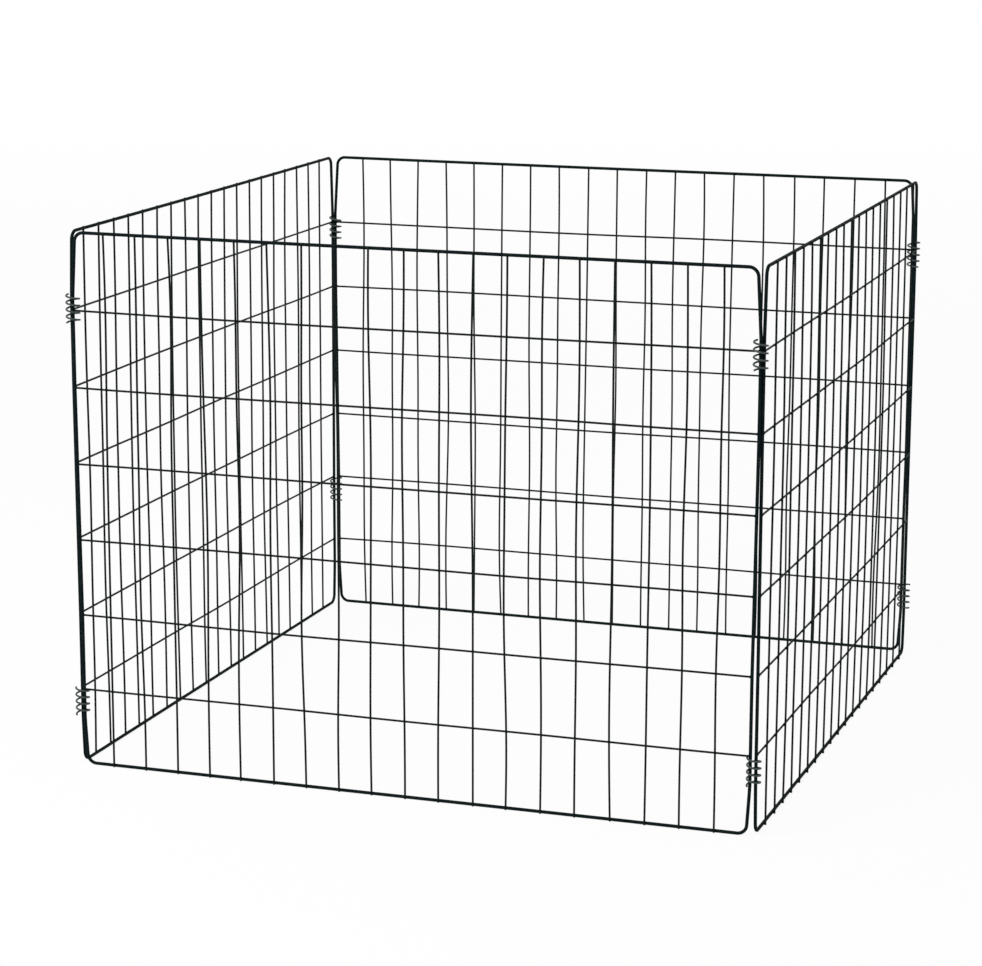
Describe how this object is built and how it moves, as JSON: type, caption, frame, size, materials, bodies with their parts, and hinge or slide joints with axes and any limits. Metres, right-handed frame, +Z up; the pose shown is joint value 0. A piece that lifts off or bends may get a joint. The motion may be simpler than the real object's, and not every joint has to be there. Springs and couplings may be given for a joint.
{
  "type": "wire compost bin",
  "caption": "Open square garden compost bin of welded wire panels, joined at the corners by wire spirals so that it folds flat.",
  "frame": {"origin": "on the ground, at the middle of the bin's square plan", "axes": "+Z up; the front panel faces -Y, the right panel +X, the back panel +Y and the left panel -X"},
  "size_m": [0.9226, 0.9262, 0.7043],
  "materials": {
    "frame_wire": "very dark green plastic coat on steel frame wire, satin",
    "crosswire": "very dark green plastic coat on thin steel wire, satin",
    "spiral_wire": "dark green plastic coat on wound steel wire, a little glossier"
  },
  "bodies": {
    "back_panel": {"back_frame": "frame_wire", "back_crosswire_1": "crosswire", "back_crosswire_2": "crosswire", "back_crosswire_3": "crosswire", "back_crosswire_4": "crosswire", "back_crosswire_5": "crosswire", "back_crosswire_6": "crosswire", "spiral_back_left_upper": "spiral_wire", "spiral_back_left_lower": "spiral_wire", "spiral_back_right_upper": "spiral_wire", "spiral_back_right_lower": "spiral_wire"},
    "left_panel": {"left_frame": "frame_wire", "left_crosswire_1": "crosswire", "left_crosswire_2": "crosswire", "left_crosswire_3": "crosswire", "left_crosswire_4": "crosswire", "left_crosswire_5": "crosswire", "left_crosswire_6": "crosswire"},
    "right_panel": {"right_frame": "frame_wire", "right_crosswire_1": "crosswire", "right_crosswire_2": "crosswire", "right_crosswire_3": "crosswire", "right_crosswire_4": "crosswire", "right_crosswire_5": "crosswire", "right_crosswire_6": "crosswire"},
    "front_panel": {"front_frame": "frame_wire", "front_crosswire_1": "crosswire", "front_crosswire_2": "crosswire", "front_crosswire_3": "crosswire", "front_crosswire_4": "crosswire", "front_crosswire_5": "crosswire", "front_crosswire_6": "crosswire", "spiral_front_left_upper": "spiral_wire", "spiral_front_left_lower": "spiral_wire", "spiral_front_right_upper": "spiral_wire", "spiral_front_right_lower": "spiral_wire"}
  },
  "joints": [
    {"name": "left_fold", "type": "hinge", "parent": "back_panel", "child": "left_panel", "pos_m": [-0.45332, 0.45, 0], "axis": [0, 0, 1], "range_deg": [-84, 84]},
    {"name": "right_fold", "type": "hinge", "parent": "back_panel", "child": "right_panel", "pos_m": [0.45332, 0.45, 0], "axis": [0, 0, 1], "range_deg": [-84, 84]},
    {"name": "front_fold", "type": "hinge", "parent": "left_panel", "child": "front_panel", "pos_m": [-0.45332, -0.45, 0], "axis": [0, 0, 1], "range_deg": [-84, 84]}
  ],
  "couplings": [
    {"joint": "right_fold", "follows": "left_fold", "ratio": 1},
    {"joint": "front_fold", "follows": "left_fold", "ratio": -1}
  ]
}
